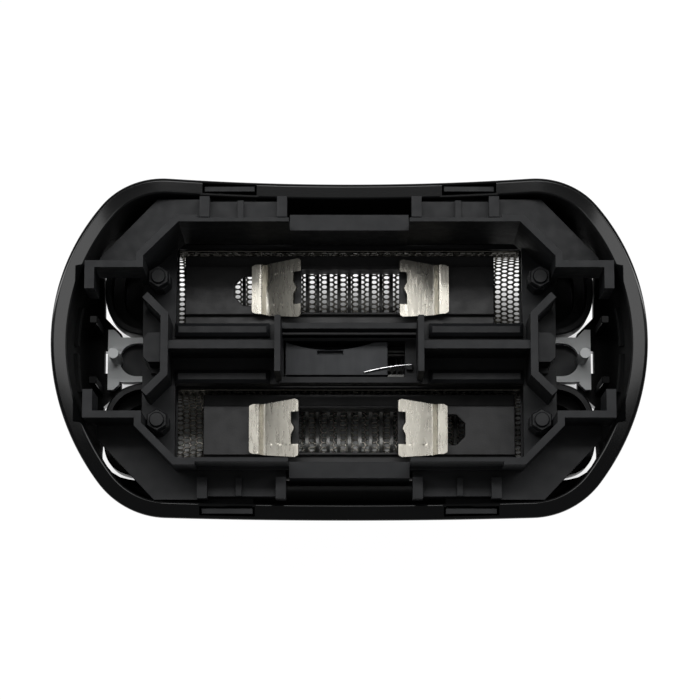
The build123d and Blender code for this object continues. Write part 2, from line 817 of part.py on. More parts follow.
def trimmer_bracket():
    """The fork at the right end, with a rounded throat, slanted bar ends and a pin."""
    arm_inner = bracket_throat / 2
    arm_outer = arm_inner + bracket_arm
    bar_end = opening_half_length - bracket_end_gap
    bar_start = bar_end - bracket_bar
    throat = bar_start - arm_inner
    arm_start = trimmer_bar_end + bracket_arm_gap
    bar = Pos((bar_start + bar_end) / 2, 0) * Rectangle(bracket_bar, bracket_bar_length)
    bar = chamfer(bar.vertices().sort_by(Axis.X)[:2], bracket_bar_chamfer)
    fork = Pos((arm_start + bar_start) / 2, 0) * Rectangle(bar_start - arm_start, 2 * arm_outer)
    gap = Pos((arm_start + throat) / 2, 0) * Rectangle(throat - arm_start, 2 * arm_inner)
    outline = bar + fork - gap - Pos(throat, 0) * Circle(arm_inner)
    bracket = prism(outline, bracket_top - bracket_thickness, bracket_top)
    pin_place = (bar_start + bracket_pin_inset, 0)
    pin = pillar(pin_place, bracket_pin_diameter, bracket_top - bracket_thickness, bracket_pin_top)
    return bracket + pin


def at_rear(part):
    """A cartridge piece on the rear foil line."""
    return Pos(0, foil_line, 0) * part


def at_front(part):
    """The same piece turned half round on the front foil line."""
    return Rot(0, 0, 180) * at_rear(part)


def build():
    nodes = {"outer_shell": outer_shell(), "chassis": chassis()}
    cartridge = {
        "foil_frame": foil_frame(),
        "foil": foil(),
        "cutter_carrier": cutter_carrier(),
        "left_drive_clip": drive_clip(-1),
        "right_drive_clip": drive_clip(1),
    }
    turned = {"left_drive_clip": "right_drive_clip", "right_drive_clip": "left_drive_clip"}
    for name, part in cartridge.items():
        nodes["rear_" + name] = at_rear(part)
        nodes["front_" + turned.get(name, name)] = at_front(part)
    blades = cutter_blades()
    nodes["rear_cutter_blades"] = Compound(children=[at_rear(blade) for blade in blades])
    nodes["front_cutter_blades"] = Compound(children=[at_front(blade) for blade in blades])

    nodes["trimmer_housing"] = trimmer_housing()
    nodes["trimmer_comb"] = trimmer_comb()
    nodes["trimmer_blade"] = trimmer_blade()
    nodes["trimmer_slider"] = trimmer_slider()
    nodes["trimmer_wire_spring"] = trimmer_wire_spring()
    bracket = trimmer_bracket()
    nodes["right_trimmer_bracket"] = bracket
    nodes["left_trimmer_bracket"] = mirror(bracket, about=Plane.YZ)

    for end, x in (("left", -1), ("right", 1)):
        place = (x * spring_pocket_place, 0)
        nodes[end + "_trimmer_spring"] = coil_spring(place, spring_pocket_bottom, plate_bottom)
        for row, y in (("rear", 1), ("front", -1)):
            place = (x * post_place, y * foil_line)
            nodes[row + "_" + end + "_foil_spring"] = coil_spring(place, spring_seat_top, plate_bottom)
    return nodes


os.makedirs("parts", exist_ok=True)
for name, part in build().items():
    export_step(part, "parts/" + name + ".step")
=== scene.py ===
import bmesh
import bpy
import numpy as np
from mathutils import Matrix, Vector


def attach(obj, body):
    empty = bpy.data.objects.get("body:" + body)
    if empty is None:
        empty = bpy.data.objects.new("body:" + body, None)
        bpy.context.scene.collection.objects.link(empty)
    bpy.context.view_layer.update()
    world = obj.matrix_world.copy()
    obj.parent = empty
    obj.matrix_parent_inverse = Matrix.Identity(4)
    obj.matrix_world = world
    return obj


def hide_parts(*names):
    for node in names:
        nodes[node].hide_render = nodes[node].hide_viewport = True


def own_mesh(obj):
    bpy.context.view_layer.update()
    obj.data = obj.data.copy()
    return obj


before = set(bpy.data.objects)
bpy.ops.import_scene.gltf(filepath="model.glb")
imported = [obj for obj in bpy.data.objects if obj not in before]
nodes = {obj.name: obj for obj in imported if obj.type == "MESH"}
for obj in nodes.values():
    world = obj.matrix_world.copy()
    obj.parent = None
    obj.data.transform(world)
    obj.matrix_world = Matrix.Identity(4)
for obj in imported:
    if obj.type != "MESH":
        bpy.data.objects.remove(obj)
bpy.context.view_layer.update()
mm = 0.001  # sizes below are in millimetres
weldGap = 0.002
print("frame loaded:", len(nodes), "nodes")


# A surface is its points, its four-sided faces as an array, and a list of any many-sided end faces.
def gridFaces(rows, columns, closedRows=False, closedColumns=False):
    # quads between neighbours of a rows x columns grid, wrapped round where it is closed
    r, c = np.meshgrid(
        np.arange(rows if closedRows else rows - 1),
        np.arange(columns if closedColumns else columns - 1),
        indexing="ij",
    )
    nextR, nextC = (r + 1) % rows, (c + 1) % columns
    corners = (r * columns + c, r * columns + nextC, nextR * columns + nextC, nextR * columns + c)
    return np.stack(corners, -1).reshape(-1, 4)


def joined(surfaces):
    # several surfaces as one, each face list shifted past the points before it
    points, quads, ends, count = [], [], [], 0
    for surfacePoints, surfaceQuads, surfaceEnds in surfaces:
        points.append(surfacePoints)
        quads.append(surfaceQuads + count)
        ends += [(np.asarray(end) + count).tolist() for end in surfaceEnds]
        count += len(surfacePoints)
    return np.concatenate(points), np.concatenate(quads).tolist() + ends


def addPiece(name, surfaces, body, material, replaced, sharp=32, closed=True):
    points, faces = joined(surfaces)
    mesh = bpy.data.meshes.new(name)
    mesh.from_pydata((points * mm).tolist(), [], faces)
    work = bmesh.new()
    work.from_mesh(mesh)
    bmesh.ops.remove_doubles(work, verts=work.verts, dist=weldGap * mm)
    if closed:
        bmesh.ops.recalc_face_normals(work, faces=work.faces)
    work.to_mesh(mesh)
    work.free()
    mesh.shade_smooth()
    mesh.set_sharp_from_angle(angle=np.radians(sharp))
    mesh.materials.append(material)
    piece = bpy.data.objects.new(name, mesh)
    bpy.context.scene.collection.objects.link(piece)
    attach(piece, body)
    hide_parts(*replaced)
    return piece


def sweptBar(rings):
    # a closed ring of points carried through several stations, with a flat face at either end
    rings = np.asarray(rings, float)
    stations, count = rings.shape[:2]
    first = np.arange(count)[::-1]
    last = np.arange((stations - 1) * count, stations * count)
    return rings.reshape(-1, 3), gridFaces(stations, count, closedColumns=True), [first, last]


def alongX(section, places):
    # a closed section in Y and Z carried straight along X
    section = np.asarray(section, float)
    return sweptBar([np.column_stack((np.full(len(section), x), section)) for x in places])


def column(outline, centre, levels):
    # a plan outline about its own middle, scaled by a factor at each (height, factor) level
    outline = np.asarray(outline, float)
    flat = np.ones(len(outline))
    rings = [np.column_stack((outline * factor + centre, height * flat)) for height, factor in levels]
    return sweptBar(rings)


def evenPolygon(sides, width):
    # a regular outline, its width taken across the flats
    angle = np.pi / sides + np.arange(sides) * 2 * np.pi / sides
    return np.column_stack((np.cos(angle), np.sin(angle))) * width / 2 / np.cos(np.pi / sides)


def roundedBox(halfX, halfY, radius, steps=4):
    # a rectangle's outline with quarter circles at its corners
    turn = np.linspace(0, np.pi / 2, steps + 1)
    corners = []
    for quarter, (sx, sy) in enumerate(((1, 1), (-1, 1), (-1, -1), (1, -1))):
        angle = turn + quarter * np.pi / 2
        arc = np.column_stack((np.cos(angle), np.sin(angle))) * radius
        corners.append(arc + (sx * (halfX - radius), sy * (halfY - radius)))
    return np.concatenate(corners)


def thickSheet(grid, thickness):
    # a grid moved half a thickness to either side along its normals, closed round its border
    along, across = np.gradient(grid, axis=0), np.gradient(grid, axis=1)
    normal = np.cross(along, across)
    normal /= np.linalg.norm(normal, axis=-1, keepdims=True)
    rows, columns = grid.shape[:2]
    count = rows * columns
    points = np.concatenate((grid + normal * thickness / 2, grid - normal * thickness / 2))
    upper = gridFaces(rows, columns)
    index = np.arange(count).reshape(rows, columns)
    border = np.concatenate((index[0], index[1:, -1], index[-1, -2::-1], index[-2:0:-1, 0]))
    following = np.roll(border, -1)
    rim = np.column_stack((following, border, border + count, following + count))
    return points.reshape(-1, 3), np.concatenate((upper, upper[:, ::-1] + count, rim)), []


askew = (0.31, 0.17, 0.93)  # a direction that no tube runs along


def tube(path, radius, sides=10):
    # circles carried along a path, each square to the path's own direction there
    path = np.asarray(path, float)
    along = np.gradient(path, axis=0)
    along /= np.linalg.norm(along, axis=1, keepdims=True)
    side = np.cross(along, askew)
    side /= np.linalg.norm(side, axis=1, keepdims=True)
    up = np.cross(along, side)
    angle = np.arange(sides) * 2 * np.pi / sides
    circle = side[:, None] * np.cos(angle)[None, :, None] + up[:, None] * np.sin(angle)[None, :, None]
    return sweptBar(path[:, None] + circle * radius)


def mirrored(surface, flipX=False, flipY=False):
    # the same surface on the other side of the middle planes
    points, quads, ends = surface
    return points * (-1 if flipX else 1, -1 if flipY else 1, 1), quads, ends


def fourCorners(surface):
    # a surface and its copies across both middle planes
    return [mirrored(surface, flipX, flipY) for flipX in (False, True) for flipY in (False, True)]


def inRow(surfaces, row):
    # cartridge surfaces on the rear foil line, or turned half round on the front one
    turn = -1 if row == "front" else 1
    return [((points + (0, foilLine, 0)) * (turn, turn, 1), quads, ends) for points, quads, ends in surfaces]


# noise scales, and the part of the noise that is spread over a finish's range
texture = dict(mottle=160, gloss=900, grain=6500, streak=2600, band=420, span=(0.3, 0.7))


def newMaterial(name, roughness, metallic=0.0, specular=0.5):
    material = bpy.data.materials.new(name)
    material.use_nodes = True
    shader = material.node_tree.nodes["Principled BSDF"]
    shader.inputs["Roughness"].default_value = roughness
    shader.inputs["Metallic"].default_value = metallic
    shader.inputs["Specular IOR Level"].default_value = specular
    return material, shader


def noiseField(material, scale, detail=3.0, stretch=(1, 1, 1)):
    # noise on Object coordinates, stretched along an axis for drawn or brushed finishes
    tree = material.node_tree
    place = tree.nodes.new("ShaderNodeTexCoord")
    mapping = tree.nodes.new("ShaderNodeMapping")
    mapping.inputs["Scale"].default_value = stretch
    noise = tree.nodes.new("ShaderNodeTexNoise")
    noise.inputs["Scale"].default_value = scale
    noise.inputs["Detail"].default_value = detail
    tree.links.new(place.outputs["Object"], mapping.inputs["Vector"])
    tree.links.new(mapping.outputs["Vector"], noise.inputs["Vector"])
    return noise.outputs["Fac"]


def colourBetween(material, shader, field, dark, light, low=0.35, high=0.65):
    ramp = material.node_tree.nodes.new("ShaderNodeValToRGB")
    ramp.color_ramp.elements[0].position = low
    ramp.color_ramp.elements[1].position = high
    ramp.color_ramp.elements[0].color = (*dark, 1)
    ramp.color_ramp.elements[1].color = (*light, 1)
    material.node_tree.links.new(field, ramp.inputs["Fac"])
    material.node_tree.links.new(ramp.outputs["Color"], shader.inputs["Base Color"])


def spread(material, field, fromRange, toRange):
    # a value carried from one range over to another, and held at its ends
    span = material.node_tree.nodes.new("ShaderNodeMapRange")
    span.inputs["From Min"].default_value, span.inputs["From Max"].default_value = fromRange
    span.inputs["To Min"].default_value, span.inputs["To Max"].default_value = toRange
    material.node_tree.links.new(field, span.inputs["Value"])
    return span.outputs["Result"]


def grainBump(material, shader, field, strength, depth):
    bump = material.node_tree.nodes.new("ShaderNodeBump")
    bump.inputs["Strength"].default_value = strength
    bump.inputs["Distance"].default_value = depth * mm
    material.node_tree.links.new(field, bump.inputs["Height"])
    material.node_tree.links.new(bump.outputs["Normal"], shader.inputs["Normal"])


def mouldedPlastic(
    name, dark, light, roughness, specular, grain, mottle=texture["mottle"], stretch=(1, 1, 1)
):
    # broad mottling in the colour, finer noise in the gloss, and an eroded-mould grain in the bump
    material, shader = newMaterial(name, roughness[0], specular=specular)
    colourBetween(material, shader, noiseField(material, mottle, stretch=stretch), dark, light)
    gloss = spread(material, noiseField(material, texture["gloss"]), texture["span"], roughness)
    material.node_tree.links.new(gloss, shader.inputs["Roughness"])
    grainBump(material, shader, noiseField(material, texture["grain"], detail=2.0), *grain)
    return material


def drawnMetal(name, dark, light, roughness, stretch, grain, streak=texture["streak"]):
    # bands along the rolling direction in the colour, finer streaks in the gloss and bump
    material, shader = newMaterial(name, roughness[0], metallic=1.0)
    streaks = noiseField(material, streak, 4.0, stretch)
    bands = noiseField(material, texture["band"], stretch=stretch)
    colourBetween(material, shader, bands, dark, light, *texture["span"])
    gloss = spread(material, streaks, texture["span"], roughness)
    material.node_tree.links.new(gloss, shader.inputs["Roughness"])
    grainBump(material, shader, streaks, *grain)
    return material


def shellPlastic(name, dark, light, roughness, specular, grain, inward=(-0.75, -0.5)):
    # glossy outside and on the rim, matte where a face looks towards the middle or up from below the rim:
    # the normal along the place from the middle, less the upward normal where it lies deep
    material, shader = newMaterial(name, roughness["outside"], specular=specular)
    colourBetween(material, shader, noiseField(material, texture["mottle"]), dark, light)
    grainBump(material, shader, noiseField(material, texture["grain"], detail=2.0), *grain)
    tree = material.node_tree
    place = tree.nodes.new("ShaderNodeTexCoord")
    share = tree.nodes.new("ShaderNodeVectorMath")
    share.operation = "MULTIPLY"
    share.inputs[1].default_value = (1 / (shell["halfLength"] * mm), 1 / (shell["halfWidth"] * mm), 0)
    facing = tree.nodes.new("ShaderNodeVectorMath")
    facing.operation = "DOT_PRODUCT"
    height, normal = tree.nodes.new("ShaderNodeSeparateXYZ"), tree.nodes.new("ShaderNodeSeparateXYZ")
    deep, looks = tree.nodes.new("ShaderNodeMath"), tree.nodes.new("ShaderNodeMath")
    deep.operation, looks.operation = "MULTIPLY", "SUBTRACT"
    tree.links.new(place.outputs["Object"], share.inputs[0])
    tree.links.new(share.outputs["Vector"], facing.inputs[0])
    tree.links.new(place.outputs["Normal"], facing.inputs[1])
    tree.links.new(place.outputs["Object"], height.inputs[0])
    tree.links.new(place.outputs["Normal"], normal.inputs[0])
    below = spread(material, height.outputs["Z"], (shell["slotFloor"] * mm, shell["rimMiddle"] * mm), (1, 0))
    upward = spread(material, normal.outputs["Z"], (0, 1), (0, 1))
    tree.links.new(below, deep.inputs[0])
    tree.links.new(upward, deep.inputs[1])
    tree.links.new(facing.outputs["Value"], looks.inputs[0])
    tree.links.new(deep.outputs[0], looks.inputs[1])
    gloss = spread(material, looks.outputs[0], inward, (roughness["inside"], roughness["outside"]))
    tree.links.new(gloss, shader.inputs["Roughness"])
    return material


shell = dict(
    halfLength=29.0,
    halfWidth=17.0,
    endCentre=6.0,       # the end arcs are struck from here
    endRadius=23.0,
    cornerCentre=(18.0, 9.0),
    cornerRadius=8.0,
    wall=1.6,
    base=3.8,
    rounding=4.6,        # the sides draw in by this much towards the foils
    roundingHeight=9.0,
    sideDraft=0.105,     # least lean of the long sides, as a slope
    innerRounding=2.6,
    floor=5.4,           # inner face of the flange round the foil opening
    rimMiddle=13.0,
    rimRadius=63.57,     # the rim is a saddle struck about a cross axis
    outerEdge=0.3,
    innerEdge=0.18,
    edgeLoop=0.06,       # keeps the rim flat between its rounded edges
    slotWall=0.35,       # wall left outside each rim slot
    slotStrip=1.25,      # strip left on its inner side, from here to the inner face
    slotFloor=11.7,
    slotWindow=12.9,     # top of the window below the strip, where a finger's root comes through
    slotSpan=(9.3, 14.7),
    openingHalf=(25.1, 12.2),
    openingCorner=2.6,
    tabTip=23.4,         # slanted flange tabs below the trimmer brackets
    tabSlant=20.445,
    tabNotch=1.15,
)

# points along each stretch of the outline and profile, and the angles round the rim's edges
shellSteps = dict(
    end=26, corner=18, side=4, slot=7, middle=10, rounding=15, inside=9, strip=8,
    outerTurn=(0, 22, 45, 68, 90), innerTurn=(90, 60, 30, 0),
    probe=1601, probeReach=8.0,
)

finishes = {
    "shellGloss": shellPlastic(
        "shellGloss", (0.0018, 0.002, 0.0022), (0.0026, 0.0028, 0.003), dict(outside=0.07, inside=0.62), 0.28,
        (0.02, 0.004),
    ),
    "chassisPlastic": mouldedPlastic(
        "chassisPlastic", (0.0085, 0.0092, 0.0105), (0.013, 0.0138, 0.0155), (0.46, 0.58), 0.33, (0.2, 0.02)
    ),
    "framePlastic": mouldedPlastic(
        "framePlastic", (0.006, 0.0064, 0.0072), (0.010, 0.0105, 0.0117), (0.42, 0.54), 0.33, (0.15, 0.02)
    ),
    "carrierPlastic": mouldedPlastic(
        "carrierPlastic", (0.012, 0.012, 0.0125), (0.024, 0.024, 0.025), (0.34, 0.52), 0.42, (0.25, 0.03),
        mottle=300, stretch=(0.35, 1, 1),
    ),
    "foilNickel": drawnMetal(
        "foilNickel", (0.26, 0.245, 0.215), (0.36, 0.345, 0.305), (0.22, 0.34), (0.3, 1, 1), (0.1, 0.004)
    ),
    "bladeSteel": drawnMetal(
        "bladeSteel", (0.10, 0.10, 0.097), (0.17, 0.17, 0.163), (0.28, 0.42), (1, 0.2, 0.2), (0.15, 0.004)
    ),
    "clipNickel": drawnMetal(
        "clipNickel", (0.46, 0.437, 0.38), (0.70, 0.672, 0.596), (0.22, 0.36), (1, 0.16, 1), (0.5, 0.014),
        streak=3400,
    ),
    "springSteel": drawnMetal(
        "springSteel", (0.46, 0.46, 0.46), (0.62, 0.62, 0.62), (0.2, 0.3), (1, 1, 0.3), (0.1, 0.004)
    ),
    "bracketGrey": mouldedPlastic(
        "bracketGrey", (0.66, 0.68, 0.68), (0.78, 0.8, 0.8), (0.36, 0.5), 0.45, (0.15, 0.02)
    ),
    "sliderGrey": mouldedPlastic(
        "sliderGrey", (0.032, 0.034, 0.038), (0.045, 0.048, 0.053), (0.4, 0.52), 0.36, (0.2, 0.02),
        mottle=700, stretch=(1, 0.06, 1),
    ),
}
print("finishes ready:", len(finishes))


# CAD nodes that keep their shape, with softened edges
softening = dict(flatAngle=2, edgeAngle=30, segments=2)
keptNodes = {
    "chassis": dict(finish="chassisPlastic", bevel=0.12),
    "trimmer_housing": dict(finish="chassisPlastic", bevel=0.08),
    "trimmer_slider": dict(finish="sliderGrey", bevel=0.06),
    "left_trimmer_bracket": dict(finish="bracketGrey", bevel=0.12),
    "right_trimmer_bracket": dict(finish="bracketGrey", bevel=0.12),
    "rear_cutter_carrier": dict(finish="carrierPlastic", bevel=0.1),
    "front_cutter_carrier": dict(finish="carrierPlastic", bevel=0.1),
}

for nodeName, look in keptNodes.items():
    node = nodes[nodeName]
    node.data.materials.clear()
    node.data.materials.append(finishes[look["finish"]])
    weld = node.modifiers.new("weld", "WELD")
    weld.merge_threshold = weldGap / 2 * mm
    flats = node.modifiers.new("flats", "DECIMATE")
    flats.decimate_type = "DISSOLVE"
    flats.angle_limit = np.radians(softening["flatAngle"])
    edges = node.modifiers.new("edges", "BEVEL")
    edges.width = look["bevel"] * mm
    edges.segments = softening["segments"]
    edges.limit_method = "ANGLE"
    edges.angle_limit = np.radians(softening["edgeAngle"])
print("kept nodes dressed:", len(keptNodes))


def rimHeight(x):
    # a circle's lower arc over the length
    return shell["rimMiddle"] + shell["rimRadius"] - np.sqrt(shell["rimRadius"] ** 2 - x ** 2)


def insideOpening(x, y):
    # a rounded rectangle, less a slanted tab between each frame end and the middle notch
    halfX, halfY = shell["openingHalf"]
    corner = shell["openingCorner"]
    overX = np.maximum(np.abs(x) - halfX + corner, 0)
    overY = np.maximum(np.abs(y) - halfY + corner, 0)
    rectangle = np.hypot(overX, overY) < corner
    tab = (np.abs(x) > shell["tabTip"]) & (np.abs(y) > shell["tabNotch"])
    tab &= np.abs(x) - np.abs(y) > shell["tabSlant"]
    return rectangle & ~tab


def shellOutline():
    # one quarter of the plan: end arc, corner arc and straight side, with outward normals
    n = shellSteps
    corner = np.array(shell["cornerCentre"])
    join = np.arctan2(corner[1], corner[0] - shell["endCentre"])
    tip, slant, notch, mouth = shell["tabTip"], shell["tabSlant"], shell["tabNotch"], shell["openingHalf"][0]
    tabX, tabY = np.array(((mouth, notch), (tip, notch), (tip, tip - slant), (mouth, mouth - slant))).T
    tabTurn = np.arctan2(tabY, tabX - shell["endCentre"])
    endTurn = np.unique(np.concatenate((np.linspace(0, join, n["end"]), tabTurn)))
    cornerTurn = np.linspace(join, np.pi / 2, n["corner"])
    near, far = shell["slotSpan"]
    sideX = np.concatenate(
        (
            np.linspace(corner[0], far, n["side"]),
            np.linspace(far, near, n["slot"]),
            np.linspace(near, 0, n["middle"]),
        )
    )
    beforeSlot = len(endTurn) + n["corner"] + n["side"]
    slotted = np.concatenate((np.zeros(beforeSlot), np.ones(n["slot"]), np.zeros(n["middle"])))
    endArc = np.column_stack((np.cos(endTurn), np.sin(endTurn)))
    cornerArc = np.column_stack((np.cos(cornerTurn), np.sin(cornerTurn)))
    points = np.concatenate(
        (
            endArc * shell["endRadius"] + (shell["endCentre"], 0),
            cornerArc * shell["cornerRadius"] + corner,
            np.column_stack((sideX, np.full(len(sideX), shell["halfWidth"]))),
        )
    )
    normals = np.concatenate((endArc, cornerArc, np.tile((0.0, 1.0), (len(sideX), 1))))
    quarters = []
    for flip, order in (((1, 1), 1), ((-1, 1), -1), ((-1, -1), 1), ((1, -1), -1)):
        quarters.append((points[::order] * flip, normals[::order] * flip, slotted[::order]))
    return [np.concatenate(part) for part in zip(*quarters)]


def shellSurface():
    # the wall's closed profile, in inset from the outline and height, carried round the outline
    points, normals, slotted = shellOutline()
    reach = np.linspace(0, shellSteps["probeReach"], shellSteps["probe"])
    probe = points[:, None] - normals[:, None] * reach[None, :, None]
    openInset = reach[np.argmax(insideOpening(probe[..., 0], probe[..., 1]), axis=1)]
    rim = rimHeight(points[:, 0])
    edgeHeight = rim - shell["outerEdge"]
    height = np.minimum(shell["roundingHeight"], edgeHeight - shell["base"])
    rows = []

    # outside: quarter ellipse from the opening up, never steeper than the long sides' draft
    start = np.arcsin(np.clip(1 - openInset / shell["rounding"], 0, 1))
    rows.append((openInset, shell["base"] + height * (1 - np.cos(start))))
    draft = shell["sideDraft"] * np.abs(normals[:, 1])
    for share in np.linspace(0, 1, shellSteps["rounding"]):
        turn = start + (np.pi / 2 - start) * share
        z = shell["base"] + height * (1 - np.cos(turn))
        rows.append((np.maximum(shell["rounding"] * (1 - np.sin(turn)), draft * (edgeHeight - z)), z))

    # rim: two rounded edges on the saddle, and a flat between them
    wallInset = np.where(slotted > 0, shell["slotWall"], shell["wall"])
    for turn in np.radians(shellSteps["outerTurn"]):
        inset = shell["outerEdge"] * (1 - np.cos(turn)) + 0 * rim
        top = rimHeight(points[:, 0] - normals[:, 0] * inset)
        rows.append((inset, top - shell["outerEdge"] * (1 - np.sin(turn))))
    flatEnd = np.maximum(wallInset - shell["innerEdge"] - shell["edgeLoop"], shell["outerEdge"])
    for inset in (np.minimum(shell["outerEdge"] + shell["edgeLoop"], flatEnd), flatEnd):
        rows.append((inset, rimHeight(points[:, 0] - normals[:, 0] * inset)))
    for turn in np.radians(shellSteps["innerTurn"]):
        inset = np.maximum(wallInset - shell["innerEdge"] * (1 - np.cos(turn)), shell["outerEdge"])
        top = rimHeight(points[:, 0] - normals[:, 0] * inset)
        rows.append((inset, top - shell["innerEdge"] * (1 - np.sin(turn))))

    # inside: slot floor, then a quarter ellipse down to the flange
    rows.append((wallInset, shell["slotFloor"] + 0 * rim))
    drop = shell["slotFloor"] - shell["floor"]
    inset = np.minimum(openInset - shell["wall"], shell["innerRounding"])
    end = np.arccos(np.clip(1 - inset / shell["innerRounding"], 0, 1))
    for share in np.linspace(0, 1, shellSteps["inside"]):
        turn = end * share
        z = shell["slotFloor"] - drop * np.sin(turn)
        rows.append((shell["wall"] + shell["innerRounding"] * (1 - np.cos(turn)), z))
    rows.append((openInset, shell["slotFloor"] - drop * np.sin(end)))

    grid = np.stack([np.column_stack((points - normals * inset[:, None], z)) for inset, z in rows], axis=1)
    return grid.reshape(-1, 3), gridFaces(*grid.shape[:2], closedRows=True, closedColumns=True), []


def slotStrip():
    # the strip between a rim slot and the inside, its top on the saddle
    bite, soft = 0.2, 0.1
    inner, outer = shell["halfWidth"] - shell["wall"], shell["halfWidth"] - shell["slotStrip"]
    rings = []
    for x in np.linspace(shell["slotSpan"][0] - bite, shell["slotSpan"][1] + bite, shellSteps["strip"]):
        top = rimHeight(x)
        section = (
            (inner, shell["slotWindow"]), (outer, shell["slotWindow"]), (outer, top - soft),
            (outer - soft, top), (inner + soft, top), (inner, top - soft),
        )
        rings.append([(x, *corner) for corner in section])
    return sweptBar(rings)


latch = dict(span=(0.4, 4.3), depth=0.5, bottom=12.5, top=13.4, soften=0.12, root=0.3)
peg = dict(centre=(25.5, 3.05), half=0.4, bottom=4.6, top=13.6, soften=0.12, topShare=0.8)


def latchRidge():
    # a chamfered bar on the inner end wall, bent along its arc
    radius = shell["endRadius"] - shell["wall"]
    turn = np.linspace(*np.arcsin(np.array(latch["span"]) / radius), shellSteps["strip"])
    soft, depth = latch["soften"], latch["depth"]
    into, z = np.array(
        (
            (-latch["root"], latch["bottom"]),
            (depth - soft, latch["bottom"]),
            (depth, latch["bottom"] + soft),
            (depth, latch["top"] - soft),
            (depth - soft, latch["top"]),
            (-latch["root"], latch["top"]),
        )
    ).T
    x = shell["endCentre"] + np.cos(turn)[:, None] * (radius - into)
    y = np.sin(turn)[:, None] * (radius - into)
    return sweptBar(np.stack((x, y, np.tile(z, (len(turn), 1))), axis=-1))


pegSurface = column(
    roundedBox(peg["half"], peg["half"], peg["soften"]),
    peg["centre"],
    ((peg["bottom"], 1), (peg["top"] - peg["soften"], 1), (peg["top"], peg["topShare"])),
)
shellSurfaces = [shellSurface()]
for surface in (slotStrip(), latchRidge(), pegSurface):
    shellSurfaces += fourCorners(surface)
addPiece("shellBody", shellSurfaces, "head_frame", finishes["shellGloss"], ["outer_shell"])
print("outer shell built")


foilLine = 7.2
foilSheet = dict(
    radius=4.2,
    legTop=6.8,
    halfLength=18.05,         # the ends run in below the frame
    thickness=0.1,
    columnSpacing=0.65,
    rowPitch=0.53,
    openShare=(0.66, 0.76),   # hole along and across the sheet, as shares of the cell
    plainEdge=0.7,            # unperforated strip along the upper edges
    plainEnd=0.15,
)


def perforatedFoil():
    # hexagonal cells, each a ring between its outer corners and a smaller oval hole, bent to a half circle
    radius = foilSheet["radius"]
    halfArc = radius * np.pi / 2 + foilSheet["legTop"] - radius
    spacing, pitch = foilSheet["columnSpacing"], foilSheet["rowPitch"]
    columns = 2 * int((foilSheet["halfLength"] - foilSheet["plainEnd"] - spacing / 2) / spacing) + 1
    rows = 2 * int((halfArc - foilSheet["plainEdge"] - pitch) / pitch) + 1
    column, row = np.meshgrid(np.arange(columns) - columns // 2, np.arange(rows) - rows // 2, indexing="ij")
    stagger = np.where(column % 2 == 0, 1, -1) * pitch / 4
    cx, cs = column[..., None] * spacing, (row * pitch + stagger)[..., None]

    # a cell's flat sides face along the arc, its points along the length
    point = spacing * 2 / 3
    cornerX = np.array((1, 0.5, -0.5, -1, -0.5, 0.5)) * point
    cornerS = np.array((0, 0.5, 0.5, 0, -0.5, -0.5)) * pitch
    ringX = np.stack((cornerX, (cornerX + np.roll(cornerX, -1)) / 2), -1).reshape(-1)
    ringS = np.stack((cornerS, (cornerS + np.roll(cornerS, -1)) / 2), -1).reshape(-1)
    sides = len(ringX)
    angle = np.arange(sides) * 2 * np.pi / sides
    holeX, holeS = np.array(foilSheet["openShare"]) * (point, pitch / 2)

    # the outer corners of the cells at the border reach out to the sheet's edge
    outerX, outerS = cx + ringX, cs + ringS
    reach, farX, farS = foilSheet["halfLength"], 0.4 * point, 0.1 * pitch
    outerS = np.where((row == rows // 2)[..., None] & (ringS > farS), halfArc, outerS)
    outerS = np.where((row == -(rows // 2))[..., None] & (ringS < -farS), -halfArc, outerS)
    outerX = np.where((column == columns // 2)[..., None] & (ringX > farX), reach, outerX)
    outerX = np.where((column == -(columns // 2))[..., None] & (ringX < -farX), -reach, outerX)

    x = np.concatenate((outerX, cx + np.cos(angle) * holeX), -1).reshape(-1)
    s = np.concatenate((outerS, cs + np.sin(angle) * holeS), -1).reshape(-1)
    bend = np.clip(s / radius, -np.pi / 2, np.pi / 2)
    leg = np.abs(s) - np.abs(bend) * radius
    points = np.column_stack((x, radius * np.sin(bend), radius * (1 - np.cos(bend)) + leg))
    ring = np.arange(sides)
    following = (ring + 1) % sides
    quad = np.column_stack((sides + ring, sides + following, following, ring))
    quads = (np.arange(columns * rows)[:, None, None] * 2 * sides + quad).reshape(-1, 4)
    return points, quads, []


cartridge = dict(
    halfWidth=4.75,
    windowHalf=17.35,
    cheek=0.7,
    cheekLean=0.5,          # the window's end walls lean out by this much on the way down to the foil
    capBite=0.1,            # the hollow end starts this far inside the end wall's foot
    capCentre=20.15,
    capSteps=41,
    squareness=(2.5, 3.1),  # power of the end's curve, on the side towards the trimmer and on the outer side
    crest=0.35,
    rounding=4.2,
    roundingSteps=10,
    top=7.6,
    wall=0.6,
    pocketInset=1.65,
    pocketFloor=1.95,
    railInner=4.2,
    railBottom=4.3,
    edge=0.15,
    postPlace=19.0,
    seatWidth=2.4,
    seatTop=4.5,
    postWidth=1.2,
    headWidth=2.0,
    headBottom=13.45,
    headTop=14.95,
    headStep=0.35,          # height of the small round boss on top of the head
    bossShare=0.74,
    sides=dict(seat=24, post=8, head=6, boss=20),
    chamfer=dict(seat=0.9, headFoot=0.9, head=0.88, boss=0.86),  # width left at each softened end
)


